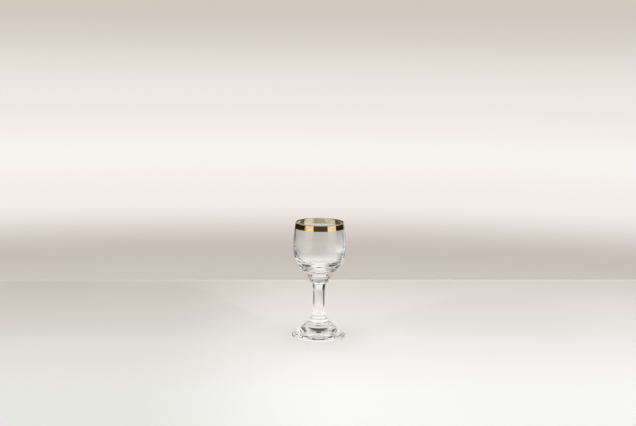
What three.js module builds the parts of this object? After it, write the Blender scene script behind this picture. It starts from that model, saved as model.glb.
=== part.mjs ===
// A small stemmed vodka glass with a fired gold band round its lip, in millimetres, +Z up.
// Every piece is turned about the Z axis. The origin is the middle of the surface the glass stands on.
import * as THREE from 'three';

// Foot: a low cone that stands on a flat ring round a hollowed underside
const footRadius = 23.2;
const footHeight = 9.4;
const footTopRadius = 12.7;
const footSag = 0.05; // how far the slope dips below a straight line
const footEdgeHeight = 1.3; // level of the widest circle
const footEdgeRound = 0.4;
const footRim = 0.8; // how far the rounding over the edge reaches in
const footRimRise = 0.5; // and how far it climbs
const restRingInnerRadius = 16.7;
const footHollow = 0.4;
const footHollowFlat = 11.4; // how wide the middle of the hollow stays nearly flat

// The two rings between the foot and the stem
const footCollarLowRadius = 12.9;
const footCollarRadius = 10.8;
const footCollarHeight = 2.2;
const footCollarBulge = 0.2;
const baseRingRadius = 7.7;
const baseRingHeight = 4.0;
const baseRingBulge = 0.7;

// Stem: solid, drawn in at a waist
const stemHeight = 30.8;
const stemFootRadius = 6.1;
const stemWaistRadius = 4.9;
const stemHeadRadius = 5.7;
const stemWaistHeight = 16.0; // above the stem's lower end
const stemFlareHeight = 5.7; // how far up the flare at the foot of the stem holds its width
const stemHeadFlare = 5.0; // how far down the head of the stem the upper flare reaches

// The two rings between the stem and the bowl
const neckRingLowRadius = 6.3;
const neckRingRadius = 7.9;
const neckRingHeight = 4.9;
const neckRingBulge = 1.0;
const bowlCollarLowRadius = 9.6;
const bowlCollarRadius = 10.4;
const bowlCollarHeight = 4.6;
const bowlCollarBulge = 0.9;

// Bowl: egg-shaped, with a heavy base and a lip narrower than its belly
const bowlHeight = 44.7;
const bowlSeatRadius = 10.8;
const bellyRadius = 22.8;
const bellyHeight = 25.2; // above the bowl's seat
const lipDrawIn = 1.6; // how far the lip stands in from the belly
const lipThickness = 1.3;
const bellyWall = 1.7;
const bowlBase = 5.5; // solid glass under the middle of the hollow
const bowlRunOut = 6.8; // how far the underside runs out from the seat before it turns up
const bowlRise = 3.5; // how much it climbs on the way
const bowlTurnUp = 15.7; // how far below the belly the side begins to turn in
const hollowRunOut = 13.0; // how wide the floor of the hollow stays nearly flat
const hollowTurnUp = 17.0; // how far below the belly the hollow begins to turn in

// Gold: a fired film on the outside of the bowl, from the crest of the lip down
const giltHeight = 5.0;
const giltThickness = 0.15;
const giltClearance = 0.02;

// Rounding of the rings' edges, softened in the fire
const ringRound = 0.25;

// Steps round the axis and along each curve
const turnSteps = 40;
const ringSteps = 5;
const curveSteps = 5;
const longCurveSteps = 8;
const lipSteps = 3;
const giltSteps = 4;

const vec = (r, z) => new THREE.Vector2(r, z);

const clearGlass = () => new THREE.MeshStandardMaterial({ color: 0xe8e6e0, roughness: 0.05, metalness: 0 });
const firedGold = () => new THREE.MeshStandardMaterial({ color: 0xe0b866, roughness: 0.12, metalness: 1 });

// Turns an outline of (radius, height) points about the axis into a named piece.
function turned(name, outline, material) {
  const geometry = new THREE.LatheGeometry(outline, turnSteps).rotateX(Math.PI / 2);
  const piece = new THREE.Mesh(geometry, material);
  piece.name = name;
  return piece;
}

// Carries a path on to (r, z) by a curve whose middle stands out from the straight line by bulge.
function bulgeTo(path, r, z, bulge) {
  const from = path.currentPoint.clone();
  const to = vec(r, z);
  const along = to.clone().sub(from).normalize();
  const control = from.add(to).multiplyScalar(0.5).addScaledVector(vec(along.y, -along.x), 2 * bulge);
  path.quadraticCurveTo(control.x, control.y, r, z);
}

// A ring of glass with flat faces, a bulging side and softened edges.
function ringOutline(lowRadius, highRadius, height, bulge) {
  const path = new THREE.Path();
  path.moveTo(0, 0);
  path.lineTo(lowRadius - ringRound, 0);
  path.quadraticCurveTo(lowRadius, 0, lowRadius, ringRound);
  bulgeTo(path, highRadius, height - ringRound, bulge);
  path.quadraticCurveTo(highRadius, height, highRadius - ringRound, height);
  path.lineTo(0, height);
  return path.getPoints(ringSteps);
}

function footOutline() {
  const path = new THREE.Path();
  path.moveTo(0, footHollow);
  path.quadraticCurveTo(footHollowFlat, footHollow, restRingInnerRadius, 0);
  path.lineTo(footRadius - footEdgeRound, 0);
  path.quadraticCurveTo(footRadius, 0, footRadius, footEdgeHeight);
  path.quadraticCurveTo(
    footRadius, footEdgeHeight + 0.6 * footRimRise,
    footRadius - footRim, footEdgeHeight + footRimRise,
  );
  bulgeTo(path, footTopRadius, footHeight, -footSag);
  path.lineTo(0, footHeight);
  return path.getPoints(curveSteps);
}

function stemOutline() {
  const path = new THREE.Path();
  path.moveTo(0, 0);
  path.lineTo(stemFootRadius, 0);
  path.bezierCurveTo(
    stemFootRadius, stemFlareHeight,
    stemWaistRadius, stemFlareHeight,
    stemWaistRadius, stemWaistHeight,
  );
  path.quadraticCurveTo(stemWaistRadius, stemHeight - stemHeadFlare, stemHeadRadius, stemHeight);
  path.lineTo(0, stemHeight);
  return path.getPoints(longCurveSteps);
}

// Above the belly the wall is an arc of an ellipse that passes through the lip.
function wallRadius(height) {
  const lipShare = (bellyRadius - lipDrawIn) / bellyRadius;
  const reach = (bowlHeight - bellyHeight) / Math.sqrt(1 - lipShare ** 2);
  return bellyRadius * Math.sqrt(1 - ((height - bellyHeight) / reach) ** 2);
}

// The wall thins evenly from the belly to the lip.
function wallThickness(height) {
  const share = (height - bellyHeight) / (bowlHeight - bellyHeight);
  return THREE.MathUtils.lerp(bellyWall, lipThickness, share);
}

function wallPoints(low, high, steps, inset) {
  const points = [];
  for (let i = 0; i <= steps; i++) {
    const height = THREE.MathUtils.lerp(low, high, i / steps);
    points.push(vec(wallRadius(height) - (inset ? wallThickness(height) : 0), height));
  }
  return points;
}

const lipRound = lipThickness / 2;
const lipBase = bowlHeight - lipRound; // where the wall ends and the round lip begins
const giltEdge = bowlHeight - giltHeight;

// A quarter of the round lip, from the outside wall to its crest or from its crest to the inside wall.
function lipQuarter(startAngle) {
  const middle = wallRadius(lipBase) - wallThickness(lipBase) / 2;
  const radius = wallThickness(lipBase) / 2;
  const points = [];
  for (let i = 1; i <= lipSteps; i++) {
    const angle = startAngle + (i / lipSteps) * (Math.PI / 2);
    points.push(vec(middle + radius * Math.cos(angle), lipBase + lipRound * Math.sin(angle)));
  }
  return points;
}

// The stretch of the bowl's outside that carries the gold, from the band's lower edge to the lip's crest
const giltLine = [...wallPoints(giltEdge, lipBase, giltSteps, false), ...lipQuarter(0)];

function bowlOutline() {
  const hollowFloor = bowlBase;
  const hollowBelly = bellyRadius - bellyWall;
  const under = new THREE.Path();
  under.moveTo(0, 0);
  under.lineTo(bowlSeatRadius, 0);
  under.bezierCurveTo(
    bowlSeatRadius + bowlRunOut, bowlRise,
    bellyRadius, bellyHeight - bowlTurnUp,
    bellyRadius, bellyHeight,
  );
  const hollow = new THREE.Path();
  hollow.moveTo(hollowBelly, bellyHeight);
  hollow.bezierCurveTo(hollowBelly, bellyHeight - hollowTurnUp, hollowRunOut, hollowFloor, 0, hollowFloor);
  return [
    ...under.getPoints(longCurveSteps),
    ...wallPoints(bellyHeight, giltEdge, giltSteps, false).slice(1, -1),
    ...giltLine,
    ...lipQuarter(Math.PI / 2),
    ...wallPoints(bellyHeight, lipBase, longCurveSteps, true).reverse().slice(1, -1),
    ...hollow.getPoints(longCurveSteps),
  ];
}

// Moves each point of a line off its right-hand side by a distance.
function offsetLine(line, distance) {
  return line.map((point, i) => {
    const before = line[Math.max(i - 1, 0)];
    const after = line[Math.min(i + 1, line.length - 1)];
    const along = after.clone().sub(before).normalize();
    return point.clone().addScaledVector(vec(along.y, -along.x), distance);
  });
}

function giltOutline() {
  const outer = offsetLine(giltLine, giltClearance + giltThickness);
  const inner = offsetLine(giltLine, giltClearance).reverse();
  return [...outer, ...inner, outer[0]];
}

const glass = new THREE.Group();
glass.name = 'vodka_glass';

// The pieces below the bowl stand on one another, from the foot up.
const stack = [
  { name: 'foot', height: footHeight, outline: footOutline() },
  {
    name: 'foot_collar',
    height: footCollarHeight,
    outline: ringOutline(footCollarLowRadius, footCollarRadius, footCollarHeight, footCollarBulge),
  },
  {
    name: 'base_ring',
    height: baseRingHeight,
    outline: ringOutline(baseRingRadius, baseRingRadius, baseRingHeight, baseRingBulge),
  },
  { name: 'stem', height: stemHeight, outline: stemOutline() },
  {
    name: 'neck_ring',
    height: neckRingHeight,
    outline: ringOutline(neckRingLowRadius, neckRingRadius, neckRingHeight, neckRingBulge),
  },
  {
    name: 'bowl_collar',
    height: bowlCollarHeight,
    outline: ringOutline(bowlCollarLowRadius, bowlCollarRadius, bowlCollarHeight, bowlCollarBulge),
  },
];
let level = 0;
for (const { name, height, outline } of stack) {
  const piece = turned(name, outline, clearGlass());
  piece.position.z = level;
  glass.add(piece);
  level += height;
}

// The gold rides on the bowl, in the bowl's own group.
const cup = new THREE.Group();
cup.position.z = level;
cup.add(turned('bowl', bowlOutline(), clearGlass()));
cup.add(turned('gilt_band', giltOutline(), firedGold()));
glass.add(cup);

export default glass;
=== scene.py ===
import math

import bpy
from mathutils import Matrix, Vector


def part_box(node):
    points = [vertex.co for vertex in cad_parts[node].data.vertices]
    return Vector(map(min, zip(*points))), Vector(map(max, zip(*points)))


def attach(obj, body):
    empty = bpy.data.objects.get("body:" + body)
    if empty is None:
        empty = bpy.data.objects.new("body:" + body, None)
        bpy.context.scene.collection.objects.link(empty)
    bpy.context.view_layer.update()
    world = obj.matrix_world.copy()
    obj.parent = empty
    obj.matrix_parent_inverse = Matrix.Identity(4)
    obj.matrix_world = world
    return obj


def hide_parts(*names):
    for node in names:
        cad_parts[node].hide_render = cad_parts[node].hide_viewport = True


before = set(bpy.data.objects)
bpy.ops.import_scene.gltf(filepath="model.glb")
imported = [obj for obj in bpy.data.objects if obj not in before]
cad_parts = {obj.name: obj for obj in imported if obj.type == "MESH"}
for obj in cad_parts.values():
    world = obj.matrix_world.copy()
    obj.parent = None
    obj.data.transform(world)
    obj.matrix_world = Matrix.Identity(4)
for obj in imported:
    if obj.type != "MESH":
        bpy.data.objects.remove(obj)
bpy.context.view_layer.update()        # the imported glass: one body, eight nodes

scene = bpy.context.scene
mm = 0.001
tiny = 1e-6              # mm, levels and radii closer than this count as one
smoothStep = {"interpolation_type": "SMOOTHSTEP"}
multiply = {"operation": "MULTIPLY"}
absolute = {"operation": "ABSOLUTE"}
print("frame loaded:", ", ".join(sorted(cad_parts)))


# helpers

def srgb(code):
    # '#rrggbb' to linear red, green, blue, alpha
    parts = [int(code[i:i + 2], 16) / 255 for i in (1, 3, 5)]
    return tuple(p / 12.92 if p <= 0.04045 else ((p + 0.055) / 1.055) ** 2.4 for p in parts) + (1.0,)


def addNode(tree, kind, settings=None, stops=(), **links):
    # settings name node properties, stops are a ramp's places and colours
    # links name inputs (_ for a space, in0 for the first) and give a value or an output socket
    node = tree.nodes.new(kind)
    for key, value in (settings or {}).items():
        setattr(node, key, value)
    for i, (place, code) in enumerate(stops):
        elements = node.color_ramp.elements
        element = elements[i] if i < len(elements) else elements.new(1.0)
        element.position = place
        element.color = srgb(code)
    for key, value in links.items():
        byNumber = key.startswith("in") and key[2:].isdigit()
        socket = node.inputs[int(key[2:]) if byNumber else key.replace("_", " ")]
        if isinstance(value, bpy.types.NodeSocket):
            tree.links.new(value, socket)
        else:
            socket.default_value = value
    return node


def newMaterial(name):
    material = bpy.data.materials.new(name)
    material.use_nodes = True
    material.node_tree.nodes.clear()
    return material, material.node_tree


def nodeLevels(node):
    # lowest and highest level of a CAD node, in mm
    low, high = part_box(node)
    return low.z / mm, high.z / mm


def nodeRadius(node):
    # half its width, in mm
    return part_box(node)[1].x / mm


def bezier(points, steps):
    # a curve of any degree from its first to its last point, without the first
    line = []
    for i in range(1, steps + 1):
        t = i / steps
        row = list(points)
        while len(row) > 1:
            row = [((1 - t) * a[0] + t * b[0], (1 - t) * a[1] + t * b[1]) for a, b in zip(row, row[1:])]
        line.append(row[0])
    return line


def bulged(start, end, bulge, steps):
    # a curve whose middle stands out to the right of the straight line by bulge
    length = math.dist(start, end)
    out = ((end[1] - start[1]) / length, -(end[0] - start[0]) / length)
    middle = tuple((a + b) / 2 + 2 * bulge * o for a, b, o in zip(start, end, out))
    return bezier([start, middle, end], steps)


turning = dict(steps=192, sharp=38)      # steps round the axis, and degrees from which an edge stays sharp


def turnPiece(name, outline, second=(), closed=False):
    # turns (radius, level) points about the axis; the spans named in second get the second material
    steps = turning["steps"]
    verts, circles = [], []
    for r, z in outline:
        count = 1 if r < tiny else steps
        circles.append(range(len(verts), len(verts) + count))
        for k in range(count):
            a = 2 * math.pi * k / steps
            verts.append((r * math.cos(a) * mm, r * math.sin(a) * mm, z * mm))
    spans = list(zip(circles, circles[1:]))
    if closed:
        spans.append((circles[-1], circles[0]))
    faces, slots = [], []
    for i, (low, high) in enumerate(spans):
        for k in range(steps):
            n = (k + 1) % steps
            if len(low) == 1:
                face = (low[0], high[n], high[k])
            elif len(high) == 1:
                face = (low[k], low[n], high[0])
            else:
                face = (low[k], low[n], high[n], high[k])
            faces.append(face)
            slots.append(1 if i in second else 0)
    mesh = bpy.data.meshes.new(name)
    mesh.from_pydata(verts, [], faces)
    mesh.polygons.foreach_set("material_index", slots)
    mesh.polygons.foreach_set("use_smooth", [True] * len(faces))
    mesh.update()
    mesh.set_sharp_from_angle(angle=math.radians(turning["sharp"]))
    piece = bpy.data.objects.new(name, mesh)
    scene.collection.objects.link(piece)
    return piece


# materials

def makeClearGlass():
    # soda-lime glass, blown and fire-polished: clear and bright, with a faint ripple and upright cords
    material, tree = newMaterial("clearGlassFirePolished")
    where = addNode(tree, "ShaderNodeTexCoord")
    ripple = addNode(tree, "ShaderNodeTexNoise", Vector=where.outputs["Object"],
                     Scale=1 / (14 * mm), Detail=1.0)
    rolling = addNode(tree, "ShaderNodeBump", Height=ripple.outputs["Fac"], Strength=0.12, Distance=0.2 * mm)
    drawn = addNode(tree, "ShaderNodeMapping", Vector=where.outputs["Object"], Scale=(1, 1, 0.06))
    cords = addNode(tree, "ShaderNodeTexNoise", Vector=drawn.outputs["Vector"],
                    Scale=1 / (5 * mm), Detail=2.0)      # 5 mm apart, drawn long up the wall
    bump = addNode(tree, "ShaderNodeBump", Height=cords.outputs["Fac"], Strength=0.1, Distance=0.05 * mm,
                   Normal=rolling.outputs["Normal"])
    glass = addNode(tree, "ShaderNodeBsdfPrincipled", Base_Color=srgb("#fefefe"), Roughness=0.0, IOR=1.52,
                    Transmission_Weight=1.0, Normal=bump.outputs["Normal"])
    # light passes to the table as through thin glass
    path = addNode(tree, "ShaderNodeLightPath")
    clear = addNode(tree, "ShaderNodeBsdfTransparent", Color=srgb("#f4f4f2"))
    mix = addNode(tree, "ShaderNodeMixShader", in0=path.outputs["Is Shadow Ray"],
                  in1=glass.outputs["BSDF"], in2=clear.outputs["BSDF"])
    addNode(tree, "ShaderNodeOutputMaterial", Surface=mix.outputs["Shader"])
    return material


def makeFusedSeam():
    # where two gathers of glass were melted together nothing shows
    material, tree = newMaterial("fusedGlassSeam")
    clear = addNode(tree, "ShaderNodeBsdfTransparent", Color=srgb("#ffffff"))
    addNode(tree, "ShaderNodeOutputMaterial", Surface=clear.outputs["BSDF"])
    return material


def makeFiredGold():
    # bright gold, painted on in a turning stroke and fired: a mirror with faint stroke marks
    material, tree = newMaterial("firedBrightGold")
    where = addNode(tree, "ShaderNodeTexCoord")
    cloud = addNode(tree, "ShaderNodeTexNoise", Vector=where.outputs["Object"],
                    Scale=1 / (3 * mm), Detail=4.0)
    tone = addNode(tree, "ShaderNodeValToRGB", stops=[(0.3, "#ecc98c"), (0.7, "#f6dcae")],
                   Fac=cloud.outputs["Fac"])
    brushed = addNode(tree, "ShaderNodeMapping", Vector=where.outputs["Object"], Scale=(1, 1, 20))
    strokes = addNode(tree, "ShaderNodeTexNoise", Vector=brushed.outputs["Vector"],
                      Scale=1 / (12 * mm), Detail=2.0)   # 12 mm long and 0.6 mm wide
    bump = addNode(tree, "ShaderNodeBump", Height=strokes.outputs["Fac"], Strength=0.15, Distance=0.02 * mm)
    gold = addNode(tree, "ShaderNodeBsdfPrincipled", Base_Color=tone.outputs["Color"], Metallic=1.0,
                   Roughness=0.05, Normal=bump.outputs["Normal"])
    addNode(tree, "ShaderNodeOutputMaterial", Surface=gold.outputs["BSDF"])
    return material


def makeGoldBack():
    # the same film seen through the glass, on the side that the fire left duller: paler and more olive
    material, tree = newMaterial("firedGoldThroughGlass")
    where = addNode(tree, "ShaderNodeTexCoord")
    cloud = addNode(tree, "ShaderNodeTexNoise", Vector=where.outputs["Object"],
                    Scale=1 / (4 * mm), Detail=3.0)
    tone = addNode(tree, "ShaderNodeValToRGB", stops=[(0.3, "#d9ccab"), (0.7, "#e6dabb")],
                   Fac=cloud.outputs["Fac"])
    gold = addNode(tree, "ShaderNodeBsdfPrincipled", Base_Color=tone.outputs["Color"], Metallic=1.0,
                   Roughness=0.05)
    addNode(tree, "ShaderNodeOutputMaterial", Surface=gold.outputs["BSDF"])
    return material


clearGlass = makeClearGlass()
fusedSeam = makeFusedSeam()
firedGold = makeFiredGold()
goldBack = makeGoldBack()
print("materials made")


# outlines of the pieces, from the foot up: (radius, level) in mm, with levels from the frame

footLow, footHigh = nodeLevels("foot")
collarLow, collarHigh = nodeLevels("foot_collar")
ringLow, ringHigh = nodeLevels("base_ring")
stemLow, stemHigh = nodeLevels("stem")
neckLow, neckHigh = nodeLevels("neck_ring")
upperLow, upperHigh = nodeLevels("bowl_collar")
bowlLow, bowlHigh = nodeLevels("bowl")

foot = dict(radius=nodeRadius("foot"), hollow=0.4, hollowFlat=11.4, restInner=16.7, edgeUp=1.3,
            edgeRound=0.4, rim=0.8, rimUp=0.5, rimBend=0.3, top=12.7, sag=0.05,
            hollowSteps=40, edgeSteps=10, rimSteps=8, slopeSteps=48)


def footOutline():
    middle = (0, footLow + foot["hollow"])
    rest = (foot["restInner"], footLow)
    under = (foot["radius"] - foot["edgeRound"], footLow)
    edge = (foot["radius"], footLow + foot["edgeUp"])
    rim = (foot["radius"] - foot["rim"], edge[1] + foot["rimUp"])
    top = (foot["top"], footHigh)
    return ([middle]
            + bezier([middle, (foot["hollowFlat"], middle[1]), rest], foot["hollowSteps"])
            + [under]
            + bezier([under, (foot["radius"], footLow), edge], foot["edgeSteps"])
            + bezier([edge, (foot["radius"], edge[1] + foot["rimBend"]), rim], foot["rimSteps"])
            + bulged(rim, top, -foot["sag"], foot["slopeSteps"])
            + [(0, footHigh)])


rings = dict(soft=0.25, softSteps=8, sideSteps=32)       # edges softened in the fire
footCollar = dict(lowRadius=12.9, radius=10.8, bulge=0.2)
baseRing = dict(lowRadius=7.7, radius=7.7, bulge=0.7)
neckRing = dict(lowRadius=6.3, radius=7.9, bulge=1.0)
bowlCollar = dict(lowRadius=9.6, radius=10.4, bulge=0.9)


def ringOutline(low, high, ring):
    # flat faces, a bulging side and softened edges
    soft = rings["soft"]
    under = (ring["lowRadius"] - soft, low)
    start = (ring["lowRadius"], low + soft)
    end = (ring["radius"], high - soft)
    over = (ring["radius"] - soft, high)
    return ([(0, low), under]
            + bezier([under, (start[0], low), start], rings["softSteps"])
            + bulged(start, end, ring["bulge"], rings["sideSteps"])
            + bezier([end, (end[0], high), over], rings["softSteps"])
            + [(0, high)])


stem = dict(foot=6.1, waist=4.9, waistUp=16.0, flareUp=5.7, head=5.7, headDown=5.0,
            flareSteps=40, headSteps=30)


def stemOutline():
    low = (stem["foot"], stemLow)
    waist = (stem["waist"], stemLow + stem["waistUp"])
    head = (stem["head"], stemHigh)
    flare = stemLow + stem["flareUp"]
    return ([(0, stemLow), low]
            + bezier([low, (low[0], flare), (waist[0], flare), waist], stem["flareSteps"])
            + bezier([waist, (waist[0], stemHigh - stem["headDown"]), head], stem["headSteps"])
            + [(0, stemHigh)])


bowl = dict(belly=nodeRadius("bowl"), bellyUp=25.2, seat=10.8, runOut=6.8, rise=3.5, turnUp=15.7,
            lipDrawIn=1.6, lip=1.3, wall=1.7, base=5.5, hollowRunOut=13.0, hollowTurnUp=17.0,
            sideSteps=64, wallSteps=48, lipSteps=16)
bellyLevel = bowlLow + bowl["bellyUp"]
lipBase = bowlHigh - bowl["lip"] / 2     # where the wall ends and the round lip begins


def wallRadius(z):
    # above the belly the wall is an arc of an ellipse through the lip
    share = (bowl["belly"] - bowl["lipDrawIn"]) / bowl["belly"]
    reach = (bowlHigh - bellyLevel) / math.sqrt(1 - share ** 2)
    return bowl["belly"] * math.sqrt(1 - ((z - bellyLevel) / reach) ** 2)


def wallThickness(z):
    # thins evenly from the belly to the lip
    return bowl["wall"] + (bowl["lip"] - bowl["wall"]) * (z - bellyLevel) / (bowlHigh - bellyLevel)


def wallLine(low, high, steps, inside=False):
    levels = [low + (high - low) * i / steps for i in range(steps + 1)]
    return [(wallRadius(z) - (wallThickness(z) if inside else 0), z) for z in levels]


def lipArc(start, end, steps):
    # part of the round lip, in degrees from the outside wall over the crest
    half = wallThickness(lipBase) / 2
    middle = wallRadius(lipBase) - half
    angles = [math.radians(start + (end - start) * i / steps) for i in range(1, steps + 1)]
    return [(middle + half * math.cos(a), lipBase + bowl["lip"] / 2 * math.sin(a)) for a in angles]


def bowlOutline():
    seat = (bowl["seat"], bowlLow)
    belly = (bowl["belly"], bellyLevel)
    inner = (bowl["belly"] - bowl["wall"], bellyLevel)
    floor = (0, bowlLow + bowl["base"])
    return ([(0, bowlLow), seat]
            + bezier([seat, (seat[0] + bowl["runOut"], bowlLow + bowl["rise"]),
                      (belly[0], bellyLevel - bowl["turnUp"]), belly], bowl["sideSteps"])
            + wallLine(bellyLevel, lipBase, bowl["wallSteps"])[1:]
            + lipArc(0, 180, bowl["lipSteps"])
            + wallLine(bellyLevel, lipBase, bowl["wallSteps"], inside=True)[::-1][1:]
            + bezier([inner, (inner[0], bellyLevel - bowl["hollowTurnUp"]),
                      (bowl["hollowRunOut"], floor[1]), floor], bowl["sideSteps"]))


gilt = dict(height=5.0, halfFilm=0.03, wallSteps=16, lipSteps=8)


def giltOutline():
    # up the outside of the film and down the side that lies on the glass
    line = wallLine(bowlHigh - gilt["height"], lipBase, gilt["wallSteps"]) + lipArc(0, 90, gilt["lipSteps"])
    outer, inner = [], []
    for i, (r, z) in enumerate(line):
        before = line[max(i - 1, 0)]
        after = line[min(i + 1, len(line) - 1)]
        length = math.dist(before, after)
        outR = gilt["halfFilm"] * (after[1] - before[1]) / length
        outZ = -gilt["halfFilm"] * (after[0] - before[0]) / length
        outer.append((r + outR, z + outZ))
        inner.append((r - outR, z - outZ))
    return outer + inner[::-1]


# the pieces; each joint is as wide as the narrower of the two faces that meet in it

def isFlat(a, b, level):
    return abs(a[1] - level) < tiny and abs(b[1] - level) < tiny


def withJoint(outline, level, radius):
    # gives the flat face at a level a circle where the joint ends
    line = outline[:1]
    for a, b in zip(outline, outline[1:]):
        if isFlat(a, b, level) and min(a[0], b[0]) < radius < max(a[0], b[0]):
            line.append((radius, level))
        line.append(b)
    return line


def jointSpans(outline, joints):
    # the spans of an outline that lie in a joint, given as (level, radius)
    spans = []
    for i, (a, b) in enumerate(zip(outline, outline[1:])):
        if any(isFlat(a, b, level) and max(a[0], b[0]) <= radius + tiny for level, radius in joints):
            spans.append(i)
    return spans


def standIn(piece, node, slot, *materials):
    for material in materials:
        piece.data.materials.append(material)
    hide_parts(node)
    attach(piece, "root")


def glassPiece(node, name, outline, *joints):
    for level, radius in joints:
        outline = withJoint(outline, level, radius)
    piece = turnPiece(name, outline, jointSpans(outline, joints))
    standIn(piece, node, "clear_glass", clearGlass, fusedSeam)


soft = rings["soft"]
jointFoot = (collarLow, min(foot["top"], footCollar["lowRadius"] - soft))
jointCollar = (ringLow, min(footCollar["radius"], baseRing["lowRadius"]) - soft)
jointRing = (stemLow, min(baseRing["radius"] - soft, stem["foot"]))
jointStem = (neckLow, min(stem["head"], neckRing["lowRadius"] - soft))
jointNeck = (upperLow, min(neckRing["radius"], bowlCollar["lowRadius"]) - soft)
jointBowl = (bowlLow, min(bowlCollar["radius"] - soft, bowl["seat"]))

footCollarLine = ringOutline(collarLow, collarHigh, footCollar)
baseRingLine = ringOutline(ringLow, ringHigh, baseRing)
neckRingLine = ringOutline(neckLow, neckHigh, neckRing)
bowlCollarLine = ringOutline(upperLow, upperHigh, bowlCollar)

glassPiece("foot", "footCone", footOutline(), jointFoot)
glassPiece("foot_collar", "footCollarRing", footCollarLine, jointFoot, jointCollar)
glassPiece("base_ring", "stemBaseRing", baseRingLine, jointCollar, jointRing)
glassPiece("stem", "waistedStem", stemOutline(), jointRing, jointStem)
glassPiece("neck_ring", "neckRing", neckRingLine, jointStem, jointNeck)
glassPiece("bowl_collar", "bowlCollarRing", bowlCollarLine, jointNeck, jointBowl)
glassPiece("bowl", "eggBowl", bowlOutline(), jointBowl)

filmLine = giltOutline()
onGlass = range(len(filmLine) // 2, len(filmLine) - 1)   # the spans that lie on the glass
film = turnPiece("giltBand", filmLine, onGlass, closed=True)
standIn(film, "gilt_band", "fired_gold", firedGold, goldBack)
print("glass turned")


# table

table = dict(back=0.222, front=-1.6, side=0.7, sink=0.00005, turn=3.2)   # metres, degrees
# painted light on the table top: lighter towards the front, in the middle and on the right, with a painted
# highlight along the back edge; nearFrom and aside in metres, edgeFrom and lightest as shares of the way
tablePaintedLight = dict(near="#fcfdfe", nearFrom=-0.15, far="#e5dfd8", edge="#efe8e0", edgeFrom=0.965,
                  left="#ecece8", right="#fbfbfb", aside=0.15, lightest=0.52)
paintedLightAndShade = [     # painted light and shade on the table, seen through the glass only, in place of the light the glass gathers: (x, y, full within, none beyond, tone)
    (-0.14, 0.4, 0.2, 0.32, "#c8c3bb"),      # painted shade: dimmer towards the back, more on the left
    (0.0, 0.095, 0.005, 0.038, "#f1eeea"),   # a painted soft streak of light behind the bowl
    (0.0, 0.0, 0.04, 0.064, "#fffdfa"),      # a painted pool of light, bright round the foot
]
# shade in front of the glass, by the slope from its axis and by metres in front
frontShade = dict(tone="#beb8ae", noneBeside=0.95, fullBeside=0.3, noneAt=-0.07, fullAt=-0.11)


def makeTableTop():
    # white acrylic sheet, rubbed matt: pale and even in itself, with painted light that makes it lighter
    # towards the front, in the middle and on the right, and a painted highlight along the back edge
    material, tree = newMaterial("whiteAcrylicMatt")
    tones = tablePaintedLight
    where = addNode(tree, "ShaderNodeTexCoord")
    split = addNode(tree, "ShaderNodeSeparateXYZ", Vector=where.outputs["Object"])
    # painted light: lighter towards the front, with a painted highlight along the back edge
    along = addNode(tree, "ShaderNodeMapRange", Value=split.outputs["Y"],
                    From_Min=tones["nearFrom"], From_Max=table["back"])
    paintedDepthLight = addNode(tree, "ShaderNodeValToRGB", Fac=along.outputs["Result"],
                    stops=[(0, tones["near"]), (tones["edgeFrom"], tones["far"]), (1, tones["edge"])])
    # painted light from the side: lighter in the middle and on the right
    aside = addNode(tree, "ShaderNodeMapRange", Value=split.outputs["X"],
                    From_Min=-tones["aside"], From_Max=tones["aside"])
    paintedSideLight = addNode(tree, "ShaderNodeValToRGB", Fac=aside.outputs["Result"],
                   stops=[(0, tones["left"]), (tones["lightest"], "#ffffff"), (1, tones["right"])])
    paintedSideLight.color_ramp.interpolation = "EASE"
    tone = addNode(tree, "ShaderNodeMix", {"data_type": "RGBA", "blend_type": "MULTIPLY"}, in0=1.0,
                   in6=paintedDepthLight.outputs["Color"], in7=paintedSideLight.outputs["Color"])
    top = addNode(tree, "ShaderNodeBsdfPrincipled", Base_Color=tone.outputs[2], Roughness=0.6,
                  Specular_IOR_Level=0.2)

    # the rest is painted light and shade, seen through the glass only
    path = addNode(tree, "ShaderNodeLightPath")
    through = path.outputs["Is Transmission Ray"]
    lit = top
    for x, y, near, far, code in paintedLightAndShade:
        reach = addNode(tree, "ShaderNodeVectorMath", {"operation": "DISTANCE"},
                        in0=where.outputs["Object"], in1=(x, y, 0))
        pool = addNode(tree, "ShaderNodeMapRange", smoothStep, Value=reach.outputs["Value"],
                       From_Min=far, From_Max=near)
        share = addNode(tree, "ShaderNodeMath", multiply, in0=pool.outputs[0], in1=through)
        glow = addNode(tree, "ShaderNodeEmission", Color=srgb(code))
        lit = addNode(tree, "ShaderNodeMixShader", in0=share.outputs[0],
                      in1=lit.outputs[0], in2=glow.outputs[0])

    # a wedge of shade in front, which the gold finds through the bowl
    slant = addNode(tree, "ShaderNodeMath", {"operation": "DIVIDE"},
                    in0=split.outputs["X"], in1=split.outputs["Y"])
    spread = addNode(tree, "ShaderNodeMath", absolute, in0=slant.outputs[0])
    wedge = addNode(tree, "ShaderNodeMapRange", smoothStep, Value=spread.outputs[0],
                    From_Min=frontShade["noneBeside"], From_Max=frontShade["fullBeside"])
    ahead = addNode(tree, "ShaderNodeMapRange", smoothStep, Value=split.outputs["Y"],
                    From_Min=frontShade["noneAt"], From_Max=frontShade["fullAt"])
    patch = addNode(tree, "ShaderNodeMath", multiply, in0=wedge.outputs[0], in1=ahead.outputs[0])
    seen = addNode(tree, "ShaderNodeMath", multiply, in0=patch.outputs[0], in1=through)
    shade = addNode(tree, "ShaderNodeEmission", Color=srgb(frontShade["tone"]))
    mix = addNode(tree, "ShaderNodeMixShader", in0=seen.outputs[0], in1=lit.outputs[0], in2=shade.outputs[0])
    addNode(tree, "ShaderNodeOutputMaterial", Surface=mix.outputs[0])
    return material


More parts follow.
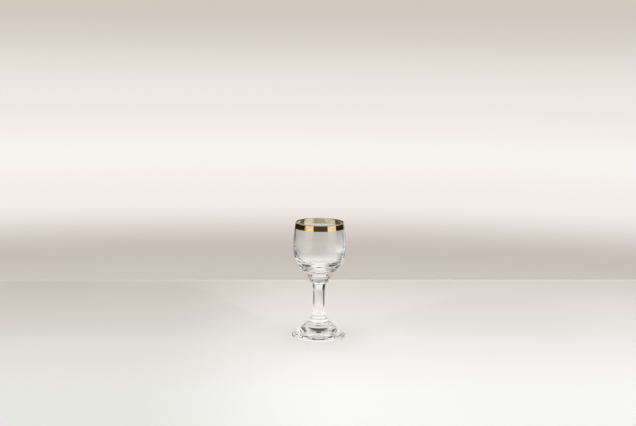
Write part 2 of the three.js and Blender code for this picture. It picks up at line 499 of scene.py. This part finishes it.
def makeTable():
    left, right = -table["side"], table["side"]
    front, back = table["front"], table["back"]
    corners = [(left, front), (right, front), (right, back), (left, back)]
    mesh = bpy.data.meshes.new("tableTop")
    mesh.from_pydata([(x, y, -table["sink"]) for x, y in corners], [], [(0, 1, 2, 3)])
    mesh.materials.append(makeTableTop())
    top = bpy.data.objects.new("tableTop", mesh)
    top.rotation_euler.z = math.radians(table["turn"])
    scene.collection.objects.link(top)


# lamps, in metres and in degrees from the camera's side

lamps = {
    "leftSoftbox": dict(azimuth=-60, distance=0.75, level=0.24, width=0.72, height=0.5, glow=0.85),
    "rightSoftbox": dict(azimuth=62, distance=0.75, level=0.24, width=0.6, height=0.5, glow=1.25),
    "topSoftbox": dict(azimuth=0, distance=0.0, level=0.95, width=0.9, height=0.9, glow=1.9),
}


def makeLamp(name, box):
    light = bpy.data.lights.new(name, "AREA")
    light.shape = "RECTANGLE"
    light.size = box["width"]
    light.size_y = box["height"]
    light.energy = math.pi * box["width"] * box["height"] * box["glow"]
    lamp = bpy.data.objects.new(name, light)
    scene.collection.objects.link(lamp)
    turn = math.radians(box["azimuth"])
    lamp.location = (math.sin(turn) * box["distance"], -math.cos(turn) * box["distance"], box["level"])
    aim = -lamp.location
    if box["distance"]:
        aim.z = 0        # the lamps at the sides shine level
    lamp.rotation_euler = aim.to_track_quat("-Z", "Y").to_euler()
    lamp.visible_camera = lamp.visible_glossy = lamp.visible_transmission = False    # the room shows them


# painted dark patches laid flat on the table beside the glass, which only the glass and the gold see; metres

darkPatches = {
    "leftDarkPatch": dict(side=-1, near=(0.086, -0.017), far=(0.05, 0.056), back=0.22, reach=0.44, thinFrom=0.26),
    "rightDarkPatch": dict(side=1, near=(0.099, -0.012), far=(0.054, 0.06), back=0.17, reach=0.29, thinFrom=0.2),
}
darkPatchLook = dict(tone="#2a2724", lift=0.0002, splay=0.1, frontFade=0.024, backFade=0.048)


def makeDarkPatchMaterial(darkPatch):
    # a painted dark patch, matt, thinning out to its front, back and outer edges to draw no line
    material, tree = newMaterial("blackCardMatt")
    matt = addNode(tree, "ShaderNodeBsdfPrincipled", Base_Color=srgb(darkPatchLook["tone"]), Roughness=0.9)
    where = addNode(tree, "ShaderNodeTexCoord")
    split = addNode(tree, "ShaderNodeSeparateXYZ", Vector=where.outputs["Object"])
    aside = addNode(tree, "ShaderNodeMath", absolute, in0=split.outputs["X"])
    front, back = darkPatch["near"][1], darkPatch["back"]
    atFront = addNode(tree, "ShaderNodeMapRange", smoothStep, Value=split.outputs["Y"],
                      From_Min=front, From_Max=front + darkPatchLook["frontFade"])
    atBack = addNode(tree, "ShaderNodeMapRange", smoothStep, Value=split.outputs["Y"],
                     From_Min=back, From_Max=back - darkPatchLook["backFade"])
    atSide = addNode(tree, "ShaderNodeMapRange", smoothStep, Value=aside.outputs[0],
                     From_Min=darkPatch["reach"], From_Max=darkPatch["thinFrom"])
    ends = addNode(tree, "ShaderNodeMath", multiply, in0=atFront.outputs[0], in1=atBack.outputs[0])
    fade = addNode(tree, "ShaderNodeMath", multiply, in0=ends.outputs[0], in1=atSide.outputs[0])
    clear = addNode(tree, "ShaderNodeBsdfTransparent")
    mix = addNode(tree, "ShaderNodeMixShader", in0=fade.outputs[0],
                  in1=clear.outputs[0], in2=matt.outputs[0])
    addNode(tree, "ShaderNodeOutputMaterial", Surface=mix.outputs[0])
    return material


def makeDarkPatch(name, darkPatch):
    front, back = darkPatch["near"][1], darkPatch["back"]
    corners = [darkPatch["near"], (darkPatch["reach"], front), (darkPatch["reach"], back),
               (darkPatch["far"][0] + darkPatchLook["splay"], back), darkPatch["far"]]
    verts = [(darkPatch["side"] * x, y, darkPatchLook["lift"]) for x, y in corners]
    mesh = bpy.data.meshes.new(name)
    mesh.from_pydata(verts, [], [range(len(verts))])
    mesh.materials.append(makeDarkPatchMaterial(darkPatch))
    sheet = bpy.data.objects.new(name, mesh)
    sheet.visible_camera = sheet.visible_shadow = sheet.visible_diffuse = False
    scene.collection.objects.link(sheet)


# background: a pale sweep by the sine of the angle up from level, and the room that glass and gold find

backdrop = dict(low=-0.22, high=0.28, tones=[
    (-0.213, "#cbc6bd"), (-0.19, "#c8bfb7"), (-0.143, "#f3ede7"), (-0.1, "#f6f2ef"),
    (-0.05, "#eee8e2"), (0.04, "#d1c8be"), (0.26, "#d0c8c0")])
room = {         # panel over panel, in degrees across from straight back and up from level
    "tentCloth": dict(across=(27, 181), up=(-95, 95), edge=6, tone="#bdbbb8", bothSides=True),
    "tentRoof": dict(across=(-1, 34), up=(17, 95), edge=3, tone="#d8d5d1", bothSides=True),
    "roofVent": dict(across=(-1, 22), up=(23, 33), edge=4, tone="#3a3834", bothSides=True),
    "roofGlow": dict(across=(6, 34), up=(15.4, 23), edge=2, ends=5, tone="#fbfaf8", bothSides=True),
    "backdropGlow": dict(across=(-19, 24), up=(7, 12.6), edge=2, ends=8, tone="#fdfcfa"),
    "backdropTop": dict(across=(-29, 29), up=(12.9, 14.7), edge=1.6, ends=16, tone="#4c463e"),
    "backdropFold": dict(across=(-15, 15), up=(13.5, 16.2), edge=2, ends=16, tone="#3a352e"),
    "backdropHook": dict(across=(-4, 4), up=(15, 25), edge=3, ends=4, tone="#4a4540"),
    "leftGap": dict(across=(-108, -36), up=(-10.5, 7), edge=4, tone="#28272a"),
    "leftGapLow": dict(across=(-60, -25), up=(-12, -2), edge=3, tone="#28272a"),
    "rightGapLow": dict(across=(43, 68), up=(-95, 2), edge=6, tone="#28272a"),
    "rightGap": dict(across=(64, 104), up=(-95, 7), edge=5, tone="#28272a"),
    "rightBackGlow": dict(across=(22, 68), up=(3, 11), edge=4, tone="#ebe9e6"),
    "rightBackGap": dict(across=(29, 66), up=(9.8, 17.5), edge=3, ends=12, tone="#5c5854"),
    "leftBackGlow": dict(across=(-66, -27), up=(8, 24), edge=4, tone="#dcdad7"),
    "leftBackGap": dict(across=(-66, -30), up=(9.5, 14.5), edge=2.5, ends=8, tone="#2f2d2b"),
    "darkAtCamera": dict(across=(137, 181), up=(-95, 28), edge=3, tone="#47484e", bothSides=True),
    "rightSheet": dict(across=(66, 112), up=(8, 40), edge=4, tone="#f4f2ef"),
    "leftSheet": dict(across=(-108, -72), up=(11, 25), edge=4, tone="#d8d5d0"),
    "leftSoftbox": dict(across=(-151, -115), up=(-3, 16), edge=2, tone="#fbfaf8"),
    "rightSoftbox": dict(across=(102, 144), up=(-3, 16), edge=2, tone="#fbfaf8"),
    "rightSweep": dict(across=(5, 40), up=(-40, -12.8), edge=3, ends=8, tone="#fffefc"),
    "tentSeamBack": dict(across=(45, 51), up=(19, 50), edge=2, tone="#2f2d2b", bothSides=True),
    "tentSeamSide": dict(across=(74, 80), up=(19, 50), edge=2, tone="#2f2d2b", bothSides=True),
    "tentSeamFront": dict(across=(101, 107), up=(19, 50), edge=2, tone="#2f2d2b", bothSides=True),
}


def addBand(tree, angle, span, edge):
    # 1 between two angles in degrees, falling to 0 over edge
    low, high, half = (math.radians(v) for v in (*span, edge / 2))
    rising = addNode(tree, "ShaderNodeMapRange", smoothStep, Value=angle,
                     From_Min=low - half, From_Max=low + half)
    falling = addNode(tree, "ShaderNodeMapRange", smoothStep, Value=angle,
                      From_Min=high + half, From_Max=high - half)
    return addNode(tree, "ShaderNodeMath", multiply, in0=rising.outputs[0], in1=falling.outputs[0])


def makeWorld():
    world = bpy.data.worlds.new("paleBackdrop")
    scene.world = world
    world.use_nodes = True
    tree = world.node_tree
    tree.nodes.clear()
    where = addNode(tree, "ShaderNodeTexCoord")
    split = addNode(tree, "ShaderNodeSeparateXYZ", Vector=where.outputs["Generated"])
    low, high = backdrop["low"], backdrop["high"]
    level = addNode(tree, "ShaderNodeMapRange", Value=split.outputs["Z"], From_Min=low, From_Max=high)
    tone = addNode(tree, "ShaderNodeValToRGB", Fac=level.outputs["Result"],
                   stops=[((z - low) / (high - low), code) for z, code in backdrop["tones"]])
    tone.color_ramp.interpolation = "EASE"
    back = addNode(tree, "ShaderNodeBackground", Color=tone.outputs["Color"])

    turn = addNode(tree, "ShaderNodeMath", {"operation": "ARCTAN2"},
                   in0=split.outputs["X"], in1=split.outputs["Y"])
    either = addNode(tree, "ShaderNodeMath", absolute, in0=turn.outputs[0])
    lift = addNode(tree, "ShaderNodeMath", {"operation": "ARCSINE"}, in0=split.outputs["Z"])
    found = back
    for name, panel in room.items():
        angle = either if panel.get("bothSides") else turn
        across = addBand(tree, angle.outputs[0], panel["across"], panel.get("ends", panel["edge"]))
        up = addBand(tree, lift.outputs[0], panel["up"], panel["edge"])
        here = addNode(tree, "ShaderNodeMath", multiply, in0=across.outputs[0], in1=up.outputs[0])
        cloth = addNode(tree, "ShaderNodeBackground", {"label": name}, Color=srgb(panel["tone"]))
        found = addNode(tree, "ShaderNodeMixShader", in0=here.outputs[0],
                        in1=found.outputs[0], in2=cloth.outputs[0])
    path = addNode(tree, "ShaderNodeLightPath")
    mix = addNode(tree, "ShaderNodeMixShader", in0=path.outputs["Is Camera Ray"],
                  in1=found.outputs[0], in2=back.outputs[0])
    addNode(tree, "ShaderNodeOutputWorld", Surface=mix.outputs[0])


# camera, in metres, degrees and mm of lens

viewpoint = dict(distance=0.9, level=0.25, aside=-0.0017, down=8.95, roll=0.7, lens=59.85, sensor=36.0)


def makeCamera():
    data = bpy.data.cameras.new("camera")
    data.lens = viewpoint["lens"]
    data.sensor_width = viewpoint["sensor"]
    data.clip_start = 0.01
    data.clip_end = 20
    camera = bpy.data.objects.new("camera", data)
    scene.collection.objects.link(camera)
    camera.location = (viewpoint["aside"], -viewpoint["distance"], viewpoint["level"])
    tilt = Matrix.Rotation(math.radians(90 - viewpoint["down"]), 3, "X")
    roll = Matrix.Rotation(math.radians(viewpoint["roll"]), 3, "Z")
    camera.rotation_euler = (tilt @ roll).to_euler()
    scene.camera = camera


makeTable()
for name, box in lamps.items():
    makeLamp(name, box)
for name, darkPatch in darkPatches.items():
    makeDarkPatch(name, darkPatch)
makeWorld()
makeCamera()
scene.view_settings.view_transform = "Standard"
scene.cycles.max_bounces = 32            # the light crosses many walls of glass
scene.cycles.transmission_bounces = 28
scene.cycles.glossy_bounces = 12
scene.cycles.transparent_max_bounces = 64
print("table, lamps, cards, background and camera set")
